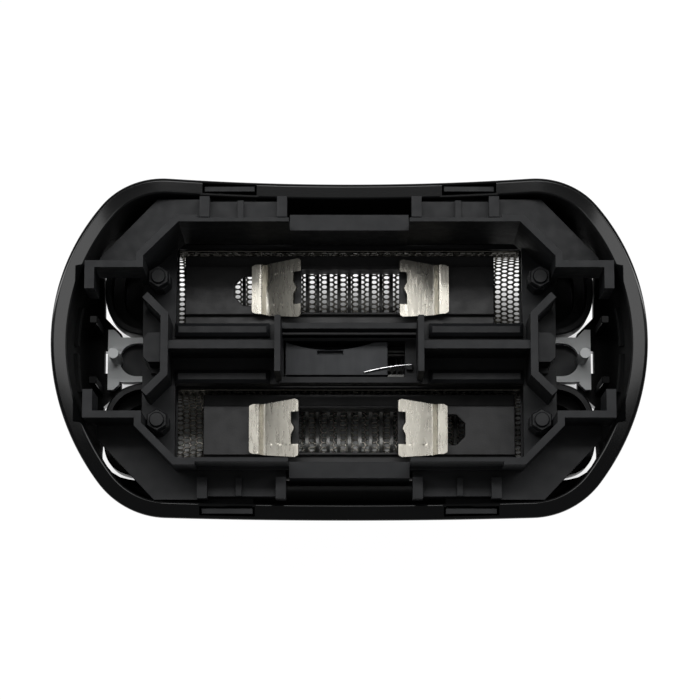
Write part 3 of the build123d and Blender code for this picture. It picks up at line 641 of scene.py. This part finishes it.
def capProfile():
    # the hollow end's wall as inset and height: underside, round the outside, then down into the pocket
    c = cartridge
    turn = np.linspace(0, np.pi / 2, c["roundingSteps"])
    rounding = np.column_stack((1 - np.sin(turn), 1 - np.cos(turn))) * c["rounding"] + (0, c["crest"])
    shoulder = c["crest"] + c["rounding"]
    brim = ((0, c["top"] - c["edge"]), (c["edge"], c["top"]))
    outside = np.concatenate((((c["halfWidth"], c["crest"]),), rounding, brim))
    pocket = (
        (c["wall"], c["top"]),
        (c["wall"], shoulder),
        (c["pocketInset"], shoulder),
        (c["pocketInset"], c["pocketFloor"]),
        (c["halfWidth"], c["pocketFloor"]),
    )
    return outside, np.concatenate((outside, pocket))


def frameEnd():
    # the profile carried round a straight, a squared half circle and a straight, shrunk towards the middle
    # line by its inset; then the leaning end wall, seat, post and head
    c = cartridge
    outside, profile = capProfile()
    turn = np.linspace(-np.pi / 2, np.pi / 2, c["capSteps"])
    start = c["windowHalf"] + c["cheekLean"] + c["capBite"]
    power = 2 / np.where(turn < 0, *c["squareness"])
    curve = np.column_stack((np.abs(np.cos(turn)) ** power, np.sign(turn) * np.abs(np.sin(turn)) ** power))
    curve = np.concatenate((((0, -1),), curve, ((0, 1),)))
    spine = np.full((len(curve), 2), (c["capCentre"], 0.0))
    spine[[0, -1], 0] = start
    path = spine + curve * c["halfWidth"]
    flat = spine[:, None] + curve[:, None] * (c["halfWidth"] - profile[None, :, :1])
    z = np.tile(profile[:, 1], (len(path), 1))
    grid = np.concatenate((flat, z[..., None]), -1)
    count = len(profile)
    last = np.arange((len(path) - 1) * count, len(path) * count)
    surfaces = [(grid.reshape(-1, 3), gridFaces(*grid.shape[:2]), [np.arange(count), last])]

    half = outside * (-1, 1) + (c["halfWidth"], 0)
    cheek = np.concatenate((half, half[::-1] * (-1, 1)))
    front = c["windowHalf"] + c["cheekLean"] * (c["top"] - cheek[:, 1]) / (c["top"] - c["crest"])
    back = np.full(len(cheek), c["windowHalf"] + c["cheek"])
    surfaces.append(sweptBar([np.column_stack((x, cheek)) for x in (front, back)]))

    edge, chamfer, step = c["edge"], c["chamfer"], c["headTop"] - c["headStep"]
    turned = (
        ("seat", c["seatWidth"], (
            (c["pocketFloor"] / 2, 1), (c["seatTop"] - edge, 1), (c["seatTop"], chamfer["seat"]),
        )),
        ("post", c["postWidth"], ((c["seatTop"] - edge, 1), (c["headBottom"] + edge, 1))),
        ("head", c["headWidth"], (
            (c["headBottom"], chamfer["headFoot"]), (c["headBottom"] + edge, 1), (step - edge, 1),
            (step, chamfer["head"]),
        )),
        ("boss", c["headWidth"] * c["bossShare"], (
            (step - edge, 1), (c["headTop"] - edge, 1), (c["headTop"], chamfer["boss"]),
        )),
    )
    for piece, width, levels in turned:
        surfaces.append(column(evenPolygon(c["sides"][piece], width), (c["postPlace"], 0), levels))
    return surfaces


def frameRail():
    # a straight side rail with softened upper edges
    c = cartridge
    soft, bite = 0.1, 0.4
    low, high = c["railInner"], c["halfWidth"]
    section = (
        (low, c["railBottom"]), (high, c["railBottom"]), (high, c["top"] - soft), (high - soft, c["top"]),
        (low + soft, c["top"]), (low, c["top"] - soft),
    )
    reach = c["windowHalf"] + bite
    return alongX(section, (-reach, 0, reach))


bladeSet = dict(
    first=-16.5, pitch=1.1, count=29, radius=3.95, depth=0.9, thickness=0.34, axisHeight=4.2, steps=28
)


def cutterBlade(x):
    # a thin rectangle carried round a half circle below the cutter's axis
    b = bladeSet
    turn = np.linspace(np.pi, 2 * np.pi, b["steps"] + 1)[:, None]
    half, inner = b["thickness"] / 2, b["radius"] - b["depth"]
    across = np.array((-half, half, half, -half))
    radius = np.array((inner, inner, b["radius"], b["radius"]))
    along = np.tile(x + across, (len(turn), 1))
    rings = (along, np.cos(turn) * radius, b["axisHeight"] + np.sin(turn) * radius)
    return sweptBar(np.stack(rings, axis=-1))


clip = dict(
    offset=0.1,
    gap=10.0,
    length=5.05,
    halfWidth=3.0,
    lipHalfWidth=2.5,
    thickness=0.3,
    seat=7.0,
    lip=0.85,
    ramp=0.6,            # from the lip down to the plate's root
    lipRise=0.55,
    edgeRise=1.3,        # from the root up to the facing edge
    softBend=0.08,
    rootWiden=0.1,
    twistRun=0.25,       # a twist sets in over this length from the root
    notchDepth=0.75,
    notchHalf=1.7,
    bumpHalf=0.75,
    bumpHeight=0.3,
    corner=0.35,
    # some plates are bent up further, and one has its rear edge raised: edge rise and twist
    bent=dict(rear_left=(1.7, 0.3), front_left=(1.65, 0.0), front_right=(1.5, 0.0)),
)
clipSteps = dict(lip=7, ramp=17, plate=25, finger=9, notch=41)


def driveClip(side, edgeRise, twist):
    # a bent sheet: distance from the lip along one parameter, width along the other; its height is
    # a broken line with softened bends, and the facing edge is notched
    c, n = clip, clipSteps
    facing = c["offset"] + side * c["gap"] / 2
    lipX = facing + side * c["length"]
    bend, root = c["lip"], c["lip"] + c["ramp"]
    fixed = np.concatenate((np.linspace(0, bend, n["lip"])[:-1], np.linspace(bend, root, n["ramp"])))
    share = np.linspace(0, 1, n["plate"])[1:]
    notch = c["notchHalf"] / c["halfWidth"]
    finger = np.linspace(-1, -notch, n["finger"])
    across = np.concatenate((finger, np.linspace(-notch, notch, n["notch"]), -finger[::-1]))
    inNotch = np.concatenate((np.zeros(n["finger"]), np.ones(n["notch"]), np.zeros(n["finger"])))
    y = across * c["halfWidth"]
    bump = c["bumpHeight"] * (1 + np.cos(np.pi * np.clip(y / c["bumpHalf"], -1, 1))) / 2
    corner = np.clip(1 - (c["halfWidth"] - np.abs(y)) / c["corner"], 0, 1)
    rounded = c["corner"] * (1 - np.sqrt(1 - corner ** 2))
    edge = c["length"] - inNotch * (c["notchDepth"] - bump) - rounded
    lipRun = fixed[:, None] + rounded * np.clip(1 - fixed / bend, 0, 1)[:, None]
    run = np.concatenate((lipRun, root + share[:, None] * (edge - root)))
    bends, levels = (bend, root, c["length"]), (c["lipRise"], 0, edgeRise)
    shifts = np.array((-1, -0.5, 0, 0.5, 1)) * c["softBend"]
    rise = np.mean([np.interp(run + shift, bends, levels) for shift in shifts], axis=0)
    widths = (c["lipHalfWidth"], c["lipHalfWidth"] + c["rootWiden"], c["halfWidth"])
    width = np.interp(run, (0, root, c["length"]), widths)
    lift = twist * across * np.clip((run - root) / c["twistRun"], 0, 1)
    z = c["seat"] + c["thickness"] / 2 + rise + lift
    return thickSheet(np.stack((lipX - side * run, across * width, z), axis=-1), c["thickness"])


frameSurfaces = frameEnd()
frameSurfaces += [mirrored(surface, flipX=True) for surface in frameSurfaces]
frameSurfaces += [frameRail(), mirrored(frameRail(), flipY=True)]
bladePlaces = bladeSet["first"] + np.arange(bladeSet["count"]) * bladeSet["pitch"]
bladeSurfaces = [cutterBlade(x) for x in bladePlaces]
foilSurface = perforatedFoil()

for row in ("rear", "front"):
    unit, cutter = row + "_foil_unit", row + "_cutter"
    addPiece(
        row + "FoilFrame", inRow(frameSurfaces, row), unit, finishes["framePlastic"],
        [row + "_foil_frame"],
    )
    foil = addPiece(
        row + "FoilSheet", inRow([foilSurface], row), unit, finishes["foilNickel"],
        [row + "_foil"], sharp=60, closed=False,
    )
    wall = foil.modifiers.new("thickness", "SOLIDIFY")
    wall.thickness = foilSheet["thickness"] * mm
    wall.offset = -1
    addPiece(
        row + "Blades", inRow(bladeSurfaces, row), cutter, finishes["bladeSteel"],
        [row + "_cutter_blades"],
    )
    for end, side in (("left", -1), ("right", 1)):
        turned = -side if row == "front" else side
        surface = driveClip(turned, *clip["bent"].get(f"{row}_{end}", (clip["edgeRise"], 0.0)))
        addPiece(
            row + end.title() + "Clip", inRow([surface], row), cutter,
            finishes["clipNickel"], [f"{row}_{end}_drive_clip"], sharp=50,
        )
print("foil cartridges built")


comb = dict(halfWidth=1.45, crest=0.6, top=4.2, halfLength=16.2, pitch=0.6, slot=0.28)
blade = dict(halfWidth=1.17, crest=0.88, top=3.6, halfLength=13.8, pitch=0.52, slot=0.26)
channel = dict(sheet=0.2, bevel=0.85, slotTop=1.8)


def toothedChannel(c):
    # two plain walls, and below them a strip per tooth bent round the channel's shouldered section
    sheet, bevel, slotTop = channel["sheet"], channel["bevel"], channel["slotTop"]
    innerBevel = bevel - sheet * np.tan(np.pi / 8)
    lines = []
    faces = ((c["halfWidth"], c["crest"], bevel), (c["halfWidth"] - sheet, c["crest"] + sheet, innerBevel))
    for half, crest, shoulder in faces:
        right = np.array(((half - shoulder, crest), (half, crest + shoulder), (half, slotTop)))
        lines.append(np.concatenate((right[::-1] * (-1, 1), right)))
    outer, inner = lines

    count = int(2 * (c["halfLength"] - c["slot"]) / c["pitch"])
    first = -(count - 1) / 2 * c["pitch"]
    gaps = first + np.arange(count) * c["pitch"]
    starts = np.concatenate(((-c["halfLength"],), gaps + c["slot"] / 2))
    stops = np.concatenate((gaps - c["slot"] / 2, (c["halfLength"],)))
    surfaces = []
    for start, stop in zip(starts, stops):
        corners = ((start, outer), (stop, outer), (stop, inner), (start, inner))
        rings = [np.column_stack((np.full(len(line), x), line)) for x, line in corners]
        surfaces.append(sweptBar(np.stack(rings, axis=1)))
    low, high = c["halfWidth"] - sheet, c["halfWidth"]
    section = ((low, slotTop), (high, slotTop), (high, c["top"]), (low, c["top"]))
    wall = alongX(section, (-c["halfLength"], c["halfLength"]))
    return surfaces + [wall, mirrored(wall, flipY=True)]


addPiece(
    "trimmerComb", toothedChannel(comb), "trimmer_unit", finishes["bladeSteel"],
    ["trimmer_comb"],
)
addPiece(
    "trimmerBlade", toothedChannel(blade), "trimmer_drive", finishes["bladeSteel"],
    ["trimmer_blade"],
)

# a parabola through three places
wireSpring = dict(places=((6.3, -0.68, 8.22), (4.0, -0.92, 8.24), (1.5, -1.45, 8.2)), radius=0.09, steps=24)
share = np.linspace(0, 1, wireSpring["steps"])[:, None]
start, middle, tip = np.array(wireSpring["places"])
pull = 2 * middle - (start + tip) / 2
wirePath = start * (1 - share) ** 2 + pull * 2 * share * (1 - share) + tip * share ** 2
addPiece(
    "trimmerWire", [tube(wirePath, wireSpring["radius"])], "trimmer_unit",
    finishes["springSteel"], ["trimmer_wire_spring"],
)
print("trimmer built")


coil = dict(wire=0.24, radius=0.82, turns=3, flatTurn=0.5, steps=26, gap=0.05, top=9.2)
foilSpring = dict(place=(19.0, foilLine), bottom=4.5, travel=1.4)
trimmerSpring = dict(place=(12.4, 0.0), bottom=5.0, travel=1.2)


def coilSurface(place, bottom):
    # a tube on a helix whose end turns flatten out against the seats
    turns = coil["turns"] + 2 * coil["flatTurn"]
    turn = np.linspace(0, turns, int(coil["steps"] * turns) + 1)
    rise = np.clip((turn - coil["flatTurn"]) / coil["turns"], 0, 1)
    low = bottom + coil["wire"] / 2 + coil["gap"]
    high = coil["top"] - coil["wire"] / 2 - coil["gap"]
    angle = turn * 2 * np.pi
    circle = np.column_stack((np.cos(angle), np.sin(angle))) * coil["radius"] + place
    return tube(np.column_stack((circle, low + rise * (high - low))), coil["wire"] / 2)


def addSpring(nodeName, pieceName, place, spring):
    # the top stays on the chassis; the whole coil rides with the head frame, on a mesh of its own
    surface = coilSurface(place, spring["bottom"])
    piece = addPiece(pieceName, [surface], "head_frame", finishes["springSteel"], [nodeName])
    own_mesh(piece)


for end, x in (("left", -1), ("right", 1)):
    place = (x * trimmerSpring["place"][0], 0)
    addSpring(end + "_trimmer_spring", end + "TrimmerSpring", place, trimmerSpring)
    for row, y in (("rear", 1), ("front", -1)):
        place = (x * foilSpring["place"][0], y * foilSpring["place"][1])
        pieceName = row + end.title() + "FoilSpring"
        addSpring(f"{row}_{end}_foil_spring", pieceName, place, foilSpring)
print("springs built")


stageLook = dict(
    floorHalf=40.0,      # metres, as are the other places here
    floorHeight=-2e-5,
    floorColour=0.9,
    showThrough=0.95,    # how much of the floor's brightness is plain white to the eye
    paintedShadowShare=0.0,      # the white share straight below the head, where little light comes; taking the white out there paints a shadow patch over the floor's real shading
    # painted shadow: the floor's white is taken out in a patch below the head, placed by these four values
    paintedShadowCentre=(0.0, -0.0029),
    paintedShadowHalf=(0.0205, 0.0098),
    paintedShadowFade=(0.7, 2.8),  # fourth powers of the distance between which the white comes back in round the painted shadow patch
    glow=1.05,
    worldGrey=0.17,      # the studio's own light; the eye sees plain white there
)


def seenDirectly(tree):
    # one for camera, glossy and transmitted rays, else zero
    path = tree.nodes.new("ShaderNodeLightPath")
    first = tree.nodes.new("ShaderNodeMath")
    second = tree.nodes.new("ShaderNodeMath")
    first.operation = second.operation = "MAXIMUM"
    tree.links.new(path.outputs["Is Camera Ray"], first.inputs[0])
    tree.links.new(path.outputs["Is Glossy Ray"], first.inputs[1])
    tree.links.new(first.outputs[0], second.inputs[0])
    tree.links.new(path.outputs["Is Transmission Ray"], second.inputs[1])
    return second.outputs[0]


def floorMaterial():
    # a white floor that fades to its plain shaded colour below the head, by the fourth power of the distance:
    # a painted shadow patch, whose darkness there is the floor's real shading; clear from below
    material = bpy.data.materials.new("paleFloor")
    material.use_nodes = True
    tree = material.node_tree
    tree.nodes.clear()
    diffuse = tree.nodes.new("ShaderNodeBsdfDiffuse")
    diffuse.inputs["Color"].default_value = (*[stageLook["floorColour"]] * 3, 1)
    glow = tree.nodes.new("ShaderNodeEmission")
    glow.inputs["Strength"].default_value = stageLook["glow"]
    place = tree.nodes.new("ShaderNodeTexCoord")
    paintedShadowPlace = tree.nodes.new("ShaderNodeMapping")
    paintedShadowPlace.vector_type = "TEXTURE"
    paintedShadowPlace.inputs["Location"].default_value = (*stageLook["paintedShadowCentre"], stageLook["floorHeight"])
    paintedShadowPlace.inputs["Scale"].default_value = (*stageLook["paintedShadowHalf"], 1)
    squared = tree.nodes.new("ShaderNodeVectorMath")
    squared.operation = "MULTIPLY"
    fourth = tree.nodes.new("ShaderNodeVectorMath")
    fourth.operation = "DOT_PRODUCT"
    tree.links.new(place.outputs["Object"], paintedShadowPlace.inputs["Vector"])
    for socket in (0, 1):
        tree.links.new(paintedShadowPlace.outputs["Vector"], squared.inputs[socket])
        tree.links.new(squared.outputs["Vector"], fourth.inputs[socket])
    # painted shadow: the floor's white share drops from showThrough to the patch's share in a patch below the
    # head
    white = (stageLook["paintedShadowShare"], stageLook["showThrough"])
    paintedShadowWhite = spread(material, fourth.outputs["Value"], stageLook["paintedShadowFade"], white)
    share = tree.nodes.new("ShaderNodeMath")
    share.operation = "MULTIPLY"
    mix = tree.nodes.new("ShaderNodeMixShader")
    output = tree.nodes.new("ShaderNodeOutputMaterial")
    tree.links.new(seenDirectly(tree), share.inputs[0])
    tree.links.new(paintedShadowWhite, share.inputs[1])
    tree.links.new(share.outputs[0], mix.inputs["Fac"])
    tree.links.new(diffuse.outputs[0], mix.inputs[1])
    tree.links.new(glow.outputs[0], mix.inputs[2])
    clear, sided = tree.nodes.new("ShaderNodeBsdfTransparent"), tree.nodes.new("ShaderNodeMixShader")
    geometry = tree.nodes.new("ShaderNodeNewGeometry")
    tree.links.new(geometry.outputs["Backfacing"], sided.inputs["Fac"])
    tree.links.new(mix.outputs[0], sided.inputs[1])
    tree.links.new(clear.outputs[0], sided.inputs[2])
    tree.links.new(sided.outputs[0], output.inputs["Surface"])
    return material


half, level = stageLook["floorHalf"], stageLook["floorHeight"]
floorMesh = bpy.data.meshes.new("floor")
corners = ((-half, -half, level), (half, -half, level), (half, half, level), (-half, half, level))
floorMesh.from_pydata(corners, [], [(0, 1, 2, 3)])
floorMesh.materials.append(floorMaterial())
floor = bpy.data.objects.new("floor", floorMesh)
bpy.context.scene.collection.objects.link(floor)

world = bpy.data.worlds.new("studio")
bpy.context.scene.world = world
world.use_nodes = True
background = world.node_tree.nodes["Background"]
background.inputs["Color"].default_value = (1, 1, 1, 1)
sight = world.node_tree.nodes.new("ShaderNodeLightPath").outputs["Is Camera Ray"]
strength = spread(world, sight, (0, 1), (stageLook["worldGrey"], 1))
world.node_tree.links.new(strength, background.inputs["Strength"])

softboxes = {
    "leftSoftbox": dict(place=(-0.355, 0.205, 0.297), size=(0.218, 0.294), watts=0.72),
    "rightSoftbox": dict(place=(0.355, 0.205, 0.297), size=(0.218, 0.294), watts=0.72),
    "overheadSoftbox": dict(place=(0.0, 0.175, 0.46), size=(0.50, 0.06), watts=0.85),
    "ceilingPanel": dict(place=(0.0, 0.1075, 0.47), size=(0.70, 0.065), watts=0.075),
}
aim = Vector((0, 0, 0.01))
for name, box in softboxes.items():
    lamp = bpy.data.lights.new(name, "AREA")
    lamp.shape = "RECTANGLE"
    lamp.size, lamp.size_y = box["size"]
    lamp.energy = box["watts"]
    holder = bpy.data.objects.new(name, lamp)
    holder.location = box["place"]
    holder.rotation_euler = (aim - Vector(box["place"])).to_track_quat("-Z", "Y").to_euler()
    bpy.context.scene.collection.objects.link(holder)

view = dict(tilt=9.5, place=(0.00007, -0.0424, 0.26657), lens=132.67, sensor=36.0, clipStart=0.01)
cameraData = bpy.data.cameras.new("photoCamera")
cameraData.lens = view["lens"]
cameraData.sensor_width = view["sensor"]
cameraData.clip_start = view["clipStart"]
camera = bpy.data.objects.new("photoCamera", cameraData)
camera.location = view["place"]
camera.rotation_euler = (np.radians(view["tilt"]), 0, 0)
bpy.context.scene.collection.objects.link(camera)
bpy.context.scene.camera = camera
bpy.context.scene.view_settings.view_transform = "Standard"
print("stage, light and camera set")
